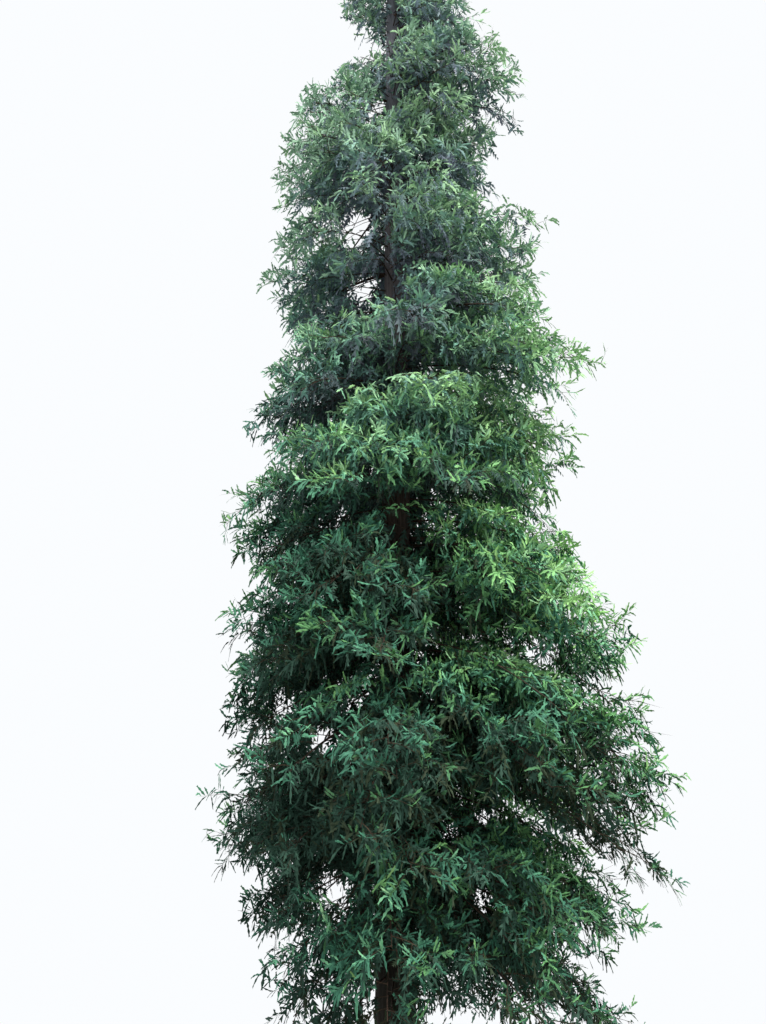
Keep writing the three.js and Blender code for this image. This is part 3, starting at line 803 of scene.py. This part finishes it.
trunk_height = rng.uniform(TRUNK_TWIGS_FROM, TRUNK_TWIGS_TO, TRUNK_TWIGS)
trunk_azimuth = rng.uniform(0, 2 * np.pi, TRUNK_TWIGS)
trunk_out = (trunk_radius(trunk_height, trunk_azimuth) - TRUNK_TWIG_DEPTH)[:, None]
trunk_root = trunk_axis(trunk_height) + heading(trunk_azimuth, 0) * trunk_out
trunk_fall = rng.normal(TRUNK_TWIG_FALL, TRUNK_FALL_SCATTER, TRUNK_TWIGS)
trunk_length = between(TRUNK_TWIG_LOW, TRUNK_TWIG_HIGH, trunk_height / TREE_HEIGHT)
trunk_length *= rng.uniform(*TRUNK_LENGTHS, TRUNK_TWIGS)
trunk_heading = heading(trunk_azimuth + rng.normal(0, TRUNK_TURN_SCATTER, TRUNK_TWIGS), trunk_fall)
trunk_sag = np.full(TRUNK_TWIGS, TRUNK_TWIG_SAG)
trunk_twigs = hanging(trunk_root, trunk_heading, trunk_length, trunk_sag, TWIG_POINTS)
trunk_gap_ragged = rng.normal(1, GAP_RAGGED, TRUNK_TWIGS)
trunk_twigs = trunk_twigs[~in_gap(trunk_twigs[:, TWIG_POINTS // 2], trunk_gap_ragged)]

leader_share = (np.arange(LEADER_TWIGS) + 0.5) / LEADER_TWIGS
leader_root = trunk_axis(between(LEADER_TWIGS_FROM, LEADER_TWIGS_TO, leader_share))
leader_fall = between(LEADER_FALL_LOW, LEADER_FALL_HIGH, leader_share)
leader_length = between(LEADER_TWIG_LOW, LEADER_TWIG_HIGH, leader_share)
leader_heading = heading(GOLDEN_TURN * np.arange(LEADER_TWIGS), leader_fall)
leader_sag = np.full(LEADER_TWIGS, LEADER_SAG)
leader_twigs = hanging(leader_root, leader_heading, leader_length, leader_sag, TWIG_POINTS)

# Twigs of the trunk and of the leader belong to no space, which is written as space -1, and share the luck
# of any bough.
others = len(trunk_twigs) + len(leader_twigs)
twigs = np.concatenate([twigs, trunk_twigs, leader_twigs])
twig_space = np.concatenate([twig_space, np.full(others, -1)])
twig_ragged = np.concatenate([twig_ragged, np.ones(others)])
twig_on = np.concatenate([twig_on, rng.integers(0, len(boughs), others)])


def grows(points, twig, slack):
    """Whether points on chosen twigs are where foliage grows.

    That is in their mass's space, inside the outline with some slack, below the tip's cone and not in a gap.
    Twigs of the trunk itself and of the leader have no space of their own.
    """
    space = twig_space[twig]
    placed = (space < 0) | (in_space(points, space) & in_outline(points, twig_ragged[twig] * slack))
    return placed & below_tip(points) & ~in_gap(points, rng.normal(1, GAP_RAGGED, len(points)))


fork_fall = between(FORK_FALL_LOW, FORK_FALL_HIGH, twigs[:, 0, 2] / TREE_HEIGHT)
fork_twig, fork_share, forks, _ = grown_on(
    twigs, FORK_FROM, FORK_SPACING, FORK_TURN, fork_fall, FORK_LENGTH, FORK_SAG, 2
)
fork_middle = forks.mean(axis=1)
kept = grows(fork_middle, fork_twig, FORK_SLACK)
kept &= ~in_gap(fork_middle, GAP_FOR_FORKS) & ~in_gap(forks[:, -1], GAP_FOR_FORK_TIPS)
forks, fork_twig, fork_share = forks[kept], fork_twig[kept], fork_share[kept]

stem_share = np.linspace(0, 1, LEADER_POINTS)
stem_path = trunk_axis(between(LEADER_FROM, LEADER_TIP, stem_share))[None]
stem_radii = between(LEADER_RADIUS, LEADER_TIP_RADIUS, stem_share)[None]
stem_points, stem_faces = limbs(stem_path, stem_radii, LEADER_SIDES)
mesh_piece("leader_stem", stem_points, stem_faces, bark, smooth=True)

twig_bark = Finish("twig_bark", Roughness=0.85, Specular_IOR_Level=0.3)
twig_mottle = twig_bark.mottled(TWIG_DARK, TWIG_BROWN, stretch=(1, 1, 1), scale=14.0, detail=2)
twig_bark.feed("Base Color", twig_mottle)
twig_radii = between(TWIG_RADIUS, TWIG_TIP_RADIUS, np.linspace(0, 1, TWIG_POINTS))[None]
twig_points, twig_faces = limbs(live_wood(twigs, fork_twig, fork_share), twig_radii, TWIG_SIDES)
mesh_piece("twigs", twig_points, twig_faces, twig_bark)
fork_points, fork_faces = spindles(forks[:, 0], forks[:, -1], FORK_RADIUS)
mesh_piece("twig_forks", fork_points, [fork_faces], twig_bark)


# Needles sit in two flat ranks along shoots as long as a hand, in tufts round the ends of the forks. Such a
# shoot is one opaque blade with a comb edge. Inside the crown grow broader fronds, whose teeth are whole
# shoots, and which are painted in the two darkest greens as the crown's inner shade. Both spring from the
# wood, and their greens are painted paler the more light their place gets.
SHOOT_LENGTH_LOW = 0.13
SHOOT_LENGTH_HIGH = 0.17
SHOOT_SPACING = 0.031
SHOOT_TWIG_SPACING = 0.085
SHOOT_FROM_FORK = 0.38
SHOOT_FROM_TWIG = 0.15
SHOOT_TURN_LOW = 1.25
SHOOT_TURN_HIGH = 1.0
SHOOT_FALL_LOW = -0.4
SHOOT_FALL_HIGH = -0.45
SHOOT_SAG = 0.45
SHOOT_WIDTHS = (0.0145, 0.025)
SHOOT_PROFILE = np.array([0.9, 1.0, 0.65])
SHOOT_SWEEP = 1.15
SHOOT_BASE = 2
FROND_FROM = 0
FROND_SPACING = 0.1
FROND_TURN = 1.1
FROND_FALL = 0.45
FROND_LENGTH = 0.25
FROND_WIDTHS = (0.05, 0.065)
FROND_PROFILE = np.array([0.7, 1.0, 0.9, 0.65, 0.35])
FROND_SAG = 0.42
FROND_SWEEP = 1.25
FROND_BASE = 1
FROND_OUTERMOST = 0.8
TOOTH_DIP = 0.3
TOOTH_SCATTER = 0.1
WIDTH_SCATTER = (0.85, 1.2)
BLADE_SLACK = 1.08
PIECE_TRIANGLES = 190000

# How pale a blade is painted, by how lit or shaded its place is: the weight of each cause, and the luck of
# its mass, bough, twig, fork and its own. The sun falls on the right side low down and, as its share passes
# below nought, on the left side high up.
PALE_OUTWARD = 2.6
PALE_HIGH = 6.0
PALE_RAISED = 3.0
PALE_TIP = 0.7
PALE_RISING = 1.1
DROOPED = 0.8
RAISED_AT_TRUNK = 0.3
THINNEST_SPACE = 0.1
SUNNY_HEIGHTS = (0.45, 0.72)
SUNNY_SIDES = (0.8, -1.4)
MASS_SEED = 25
MASS_LUCK = 0.45
BOUGH_LUCK = 0.35
TWIG_LUCK = 0.2
FORK_LUCK = 0.6
NO_FORK_LUCK = 0.3
OWN_LUCK = 0.6
SHOOT_LUCK = 4.6
FROND_LUCK = 1.6
PALEST_SHADE = 6.25
PALE_STEP = 1.15
FROND_PALEST_SHADE = 5.6

# How warm a shoot's green is: the shares of its fork and twig, how much more so at a tip and, as painted
# sunlight shining through, on the right side, and past which level it counts as warm, which is higher low
# down in the crown.
WARM_FORK = 0.6
WARM_TWIG = 0.4
WARM_TIP = 0.25
WARM_SUNLIT_SIDE = 0.25
WARM_FROM = 0.6
COOL_BELOW = 0.35
COOLER_LOW_DOWN = 0.6
WARM_FRONDS = 0.2

# Cool and warm greens, from the darkest to the palest: the needles' green painted in shade and in light, in
# five steps. Each has darker and lighter flecks, and a painted grey-blue haze that thickens between two
# heights to its own most.
TONES = {
    "shade": ((0.027, 0.066, 0.048), (0.028, 0.044, 0.025)),
    "deep": ((0.042, 0.142, 0.094), (0.055, 0.152, 0.07)),
    "mid": ((0.078, 0.235, 0.145), (0.098, 0.25, 0.1)),
    "light": ((0.15, 0.37, 0.21), (0.175, 0.39, 0.15)),
    "pale": ((0.26, 0.49, 0.26), (0.27, 0.51, 0.195)),
}
FLECK_DARK = 0.75
FLECK_LIGHT = 1.25
PAINTED_NEEDLE_HAZE = (0.27, 0.3, 0.43)
NEEDLE_HAZE_FROM = 7.5
NEEDLE_HAZE_FULL = 13.5
NEEDLE_HAZE_MOST = (0.52, 0.48, 0.42, 0.36, 0.3)

# Patches of shade on the crown's front, in the photograph's frame: across, down, half width and half height
# in pixels, and how deep the shade is. A patch of light has a depth below nought.
SHADES = [
    (430, 300, 60, 36, 1.8), (345, 545, 80, 40, 2.4), (575, 720, 70, 75, 1.7), (390, 728, 85, 40, 1.5),
    (560, 614, 52, 33, -2.4), (370, 465, 55, 30, -0.9), (405, 125, 34, 34, -1.5), (600, 890, 50, 50, 1.1),
    (245, 650, 50, 260, 1.3), (640, 800, 45, 60, 1.2), (446, 36, 24, 34, 2.6), (500, 128, 26, 24, 2.2),
    (355, 178, 34, 24, 1.5), (425, 362, 45, 24, -2.0), (512, 360, 40, 24, -1.4), (450, 868, 34, 24, 1.5),
    (425, 82, 32, 20, -1.2), (356, 980, 28, 22, -1.4), (440, 282, 34, 24, 0.9),
]


def comb_blades(paths, faces_to, width, profile, sweep, base):
    """Comb-edged blades along short paths, all at once.

    Along the path runs a rib. From each stretch of it a tooth leans out to either side, as far as the
    profile says, swept forward by some stretches and dipped a little, so the two ranks make a shallow roof.
    """
    count, steps = paths.shape[:2]
    pairs = len(profile)
    last = steps - 1
    forward = unit(paths[:, -1] - paths[:, 0])
    side = unit(np.cross(forward, faces_to))
    over = np.cross(side, forward)
    pair = np.arange(pairs)
    place = pair + sweep
    before = np.minimum(place.astype(int), last - 1)
    root = paths[:, before] + (paths[:, before + 1] - paths[:, before]) * (place - before)[None, :, None]
    reach = width[:, None, None] * profile[None, :, None]
    dip = over[:, None] * reach * TOOTH_DIP
    left = root + side[:, None] * reach - dip + rng.normal(0, TOOTH_SCATTER, root.shape) * reach
    right = root - side[:, None] * reach - dip + rng.normal(0, TOOTH_SCATTER, root.shape) * reach
    points = np.concatenate([paths, left, right], axis=1)
    beyond = np.minimum(pair + base, last)
    left_face = np.stack([pair, beyond, steps + pair], axis=-1)
    right_face = np.stack([beyond, pair, steps + pairs + pair], axis=-1)
    faces = np.concatenate([left_face, right_face])
    shift = np.arange(count)[:, None, None] * points.shape[1]
    return points.reshape(-1, 3), (faces[None] + shift).reshape(-1, 3)


def middle_of(paths):
    """The middle point of each path."""
    return paths[:, paths.shape[1] // 2]


def blade_azimuth(paths):
    """The way round the trunk at which each blade grows."""
    return np.arctan2(paths[:, 0, 1], paths[:, 0, 0])


def outwardness(paths):
    """How far out in the crown blades are: 0 at the trunk and 1 at the reach of a bough that droops there."""
    middle = middle_of(paths)
    outward = np.hypot(middle[:, 0], middle[:, 1])
    return outward / crown_reach(middle[:, 2] + DROOPED, np.arctan2(middle[:, 1], middle[:, 0]))


def uppermost(paths, space):
    """How high up blades lie in the space of their mass: 0 at its floor and 1 at its ceiling."""
    middle = middle_of(paths)
    _, _, floor, ceiling = space_round(middle, space)
    raised = (middle[:, 2] - floor) / np.maximum(ceiling - floor, THINNEST_SPACE)
    return np.where(space < 0, RAISED_AT_TRUNK, raised)


def shade(points):
    """How deep in shade points before the trunk lie: the sum of the photograph's patches.

    Each patch is its depth times a bell curve across and another one down.
    """
    across, down = on_photo(points)
    deep = np.zeros(len(points))
    for x, y, half_width, half_height, depth in SHADES:
        deep += depth * np.exp(-((across - x) / half_width) ** 2 - ((down - y) / half_height) ** 2)
    return np.where(points[:, 1] < 0, deep, 0)


def paleness(paths, twig, share, luck):
    """How pale each blade is: a weighted sum of what lights it, less the photograph's shade.

    More so far out in the crown, high up in the tree and in the mass, towards the tip of its stem, on the
    sunny side, where the blade rises, and by the luck of its spray and its own.
    """
    high = paths[:, 0, 2] / TREE_HEIGHT
    raised = uppermost(paths, twig_space[twig])
    sunny = np.interp(high, SUNNY_HEIGHTS, SUNNY_SIDES) * np.cos(blade_azimuth(paths))
    placed = PALE_OUTWARD * outwardness(paths) + PALE_HIGH * high + PALE_RAISED * raised
    lit = placed + PALE_TIP * share + sunny
    rising = PALE_RISING * unit(paths[:, -1] - paths[:, 0])[:, 2]
    return lit + rising + luck + OWN_LUCK * rng.random(len(luck)) - shade(paths[:, 0])


def kept_blades(paths, twig, *others):
    """Only the blades whose middle and tip are where foliage grows, with all that goes with them."""
    space = twig_space[twig]
    kept = grows(middle_of(paths), twig, BLADE_SLACK) & ((space < 0) | in_space(paths[:, -1], space))
    kept &= below_tip(paths[:, -1])
    return [array[kept] for array in (paths, twig, *others)]


def shoots_on(stems, first, spacing):
    """Shoots on stems, by the rule of the forks. High up in the tree they are longer and keep closer in."""
    high = stems[:, 0, 2] / TREE_HEIGHT
    turn = between(SHOOT_TURN_LOW, SHOOT_TURN_HIGH, high)
    fall = between(SHOOT_FALL_LOW, SHOOT_FALL_HIGH, high)
    length = between(SHOOT_LENGTH_LOW, SHOOT_LENGTH_HIGH, high)
    return grown_on(stems, first, spacing, turn, fall, length, SHOOT_SAG, len(SHOOT_PROFILE) + 1)


mass_luck = np.random.default_rng(MASS_SEED).random(BOUGH_COUNT + 1)
bough_luck = rng.random(len(boughs))
twig_luck = TWIG_LUCK * rng.random(len(twigs)) + BOUGH_LUCK * bough_luck[twig_on]
twig_luck += MASS_LUCK * mass_luck[twig_space]
fork_luck = rng.random(len(forks))
on_fork, share_on_fork, fork_shoots, fork_facing = shoots_on(forks, SHOOT_FROM_FORK, SHOOT_SPACING)
on_twig, share_on_twig, twig_shoots, twig_facing = shoots_on(twigs, SHOOT_FROM_TWIG, SHOOT_TWIG_SPACING)
fork_warmth = WARM_FORK * rng.random(len(forks)) + WARM_TWIG * rng.random(len(twigs))[fork_twig]
twig_warmth = rng.random(len(twigs))
luck_on_fork = FORK_LUCK * fork_luck[on_fork] + SHOOT_LUCK * twig_luck[fork_twig[on_fork]]
luck_on_twig = NO_FORK_LUCK + SHOOT_LUCK * twig_luck[on_twig]
shoots, shoot_twig, shoot_facing, shoot_share, shoot_luck, shoot_warmth = kept_blades(
    np.concatenate([fork_shoots, twig_shoots]),
    np.concatenate([fork_twig[on_fork], on_twig]),
    np.concatenate([fork_facing, twig_facing]),
    np.concatenate([share_on_fork, share_on_twig]),
    np.concatenate([luck_on_fork, luck_on_twig]),
    np.concatenate([fork_warmth[on_fork], twig_warmth[on_twig]]),
)
shoot_high = shoots[:, 0, 2] / TREE_HEIGHT
# Painted sunlight: shoots on the right side are warmer, as if lit through.
shoot_warmth = shoot_warmth + WARM_TIP * (shoot_share - 0.5) + WARM_SUNLIT_SIDE * np.cos(blade_azimuth(shoots))
shoot_warm = shoot_warmth > WARM_FROM + COOLER_LOW_DOWN * np.maximum(0, COOL_BELOW - shoot_high)

frond_twig, _, fronds, frond_facing = grown_on(
    twigs, FROND_FROM, FROND_SPACING, FROND_TURN, FROND_FALL, FROND_LENGTH, FROND_SAG, len(FROND_PROFILE) + 1
)
fronds, frond_twig, frond_facing = kept_blades(fronds, frond_twig, frond_facing)
inner = outwardness(fronds) < FROND_OUTERMOST
fronds, frond_twig, frond_facing = fronds[inner], frond_twig[inner], frond_facing[inner]
frond_warm = rng.random(len(fronds)) < WARM_FRONDS

shoot_pale = paleness(shoots, shoot_twig, shoot_share, shoot_luck)
# The tone is painted light and shade: the paler the blade's place, the lighter its green.
shoot_tone = np.clip(np.ceil((shoot_pale - PALEST_SHADE) / PALE_STEP), 0, len(TONES) - 1)
frond_pale = paleness(fronds, frond_twig, 0, FROND_LUCK * twig_luck[frond_twig])
# Fronds take only the two darkest greens, as painted shade inside the crown.
frond_tone = (frond_pale > FROND_PALEST_SHADE).astype(int)


def needle_finish(name, colour, haze_most):
    """A green with darker and lighter flecks, under a painted grey-blue haze that thickens up the tree."""
    finish = Finish(name, Roughness=0.6, Specular_IOR_Level=0.1)
    dark = tuple(FLECK_DARK * part for part in colour)
    light = tuple(FLECK_LIGHT * part for part in colour)
    flecked = finish.mottled(dark, light, stretch=(1, 1, 1), scale=9.0, detail=1)
    # Painted haze: grey-blue light laid over the green up the tree, thickest on the darkest tones.
    haze_share = finish.up_the_tree(start=NEEDLE_HAZE_FROM, end=NEEDLE_HAZE_FULL, most=haze_most)
    finish.feed("Base Color", finish.blend(haze_share, flecked, PAINTED_NEEDLE_HAZE))
    return finish


def needle_pieces(name, finish, paths, faces_to, widths, profile, sweep, base):
    """Blades joined into as many pieces as their triangles ask for, wider at the tree's tip than below."""
    parts = math.ceil(len(paths) * len(profile) * 2 / PIECE_TRIANGLES)
    for number in range(parts):
        part = np.array_split(np.arange(len(paths)), parts)[number]
        width = between(*widths, paths[part, 0, 2] / TREE_HEIGHT) * rng.uniform(*WIDTH_SCATTER, len(part))
        points, faces = comb_blades(paths[part], faces_to[part], width, profile, sweep, base)
        piece = mesh_piece(f"{name}_{number + 1}", points, [faces], finish)
        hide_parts(*[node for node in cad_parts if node.startswith("foliage_")])


for tone, (name, colours) in enumerate(TONES.items()):
    for warm, family in enumerate(("cool", "warm")):
        finish = needle_finish(f"needles_{name}_{family}", colours[warm], NEEDLE_HAZE_MOST[tone])
        mine = (shoot_tone == tone) & (shoot_warm == warm)
        needle_pieces(
            f"needles_{name}_{family}_shoots", finish, shoots[mine], shoot_facing[mine],
            SHOOT_WIDTHS, SHOOT_PROFILE, SHOOT_SWEEP, SHOOT_BASE,
        )
        mine = (frond_tone == tone) & (frond_warm == warm)
        needle_pieces(
            f"needles_{name}_{family}_fronds", finish, fronds[mine], frond_facing[mine],
            FROND_WIDTHS, FROND_PROFILE, FROND_SWEEP, FROND_BASE,
        )


# A plain studio: a pale floor just under the cut, a pale sky all round, and a broad soft lamp high up in
# front, to the right.
FLOOR_RADIUS = 60.0
FLOOR_CORNERS = 64
FLOOR_DROP = 0.002
FLOOR_GREY = (0.36, 0.36, 0.35, 1)
SKY_WHITE = (0.96, 0.98, 1.0, 1)
LAMP_POWER = 5.2
LAMP_BREADTH = math.radians(12)
LAMP_COLOUR = (1.0, 0.96, 0.88)
LAMP_FROM_OVERHEAD = math.radians(32)
LAMP_TO_RIGHT = math.radians(35)

floor_mesh = bpy.data.meshes.new("floor")
rim = 2 * np.pi * np.arange(FLOOR_CORNERS) / FLOOR_CORNERS
rim_points = np.stack([FLOOR_RADIUS * np.cos(rim), FLOOR_RADIUS * np.sin(rim), 0 * rim - FLOOR_DROP], axis=-1)
floor_mesh.from_pydata(rim_points.tolist(), [], [list(range(FLOOR_CORNERS))])
floor_mesh.materials.append(Finish("floor", Roughness=0.9, Base_Color=FLOOR_GREY).material)
floor = bpy.data.objects.new("floor", floor_mesh)
bpy.context.scene.collection.objects.link(floor)

world = bpy.data.worlds.new("studio")
world.use_nodes = True
world.node_tree.nodes["Background"].inputs["Color"].default_value = SKY_WHITE
world.node_tree.nodes["Background"].inputs["Strength"].default_value = 1.0
bpy.context.scene.world = world
bpy.context.scene.view_settings.view_transform = "Standard"

sun_data = bpy.data.lights.new("sun", "SUN")
sun_data.energy = LAMP_POWER
sun_data.angle = LAMP_BREADTH
sun_data.color = LAMP_COLOUR
sun = bpy.data.objects.new("sun", sun_data)
sun.rotation_euler = (LAMP_FROM_OVERHEAD, 0, LAMP_TO_RIGHT)
bpy.context.scene.collection.objects.link(sun)
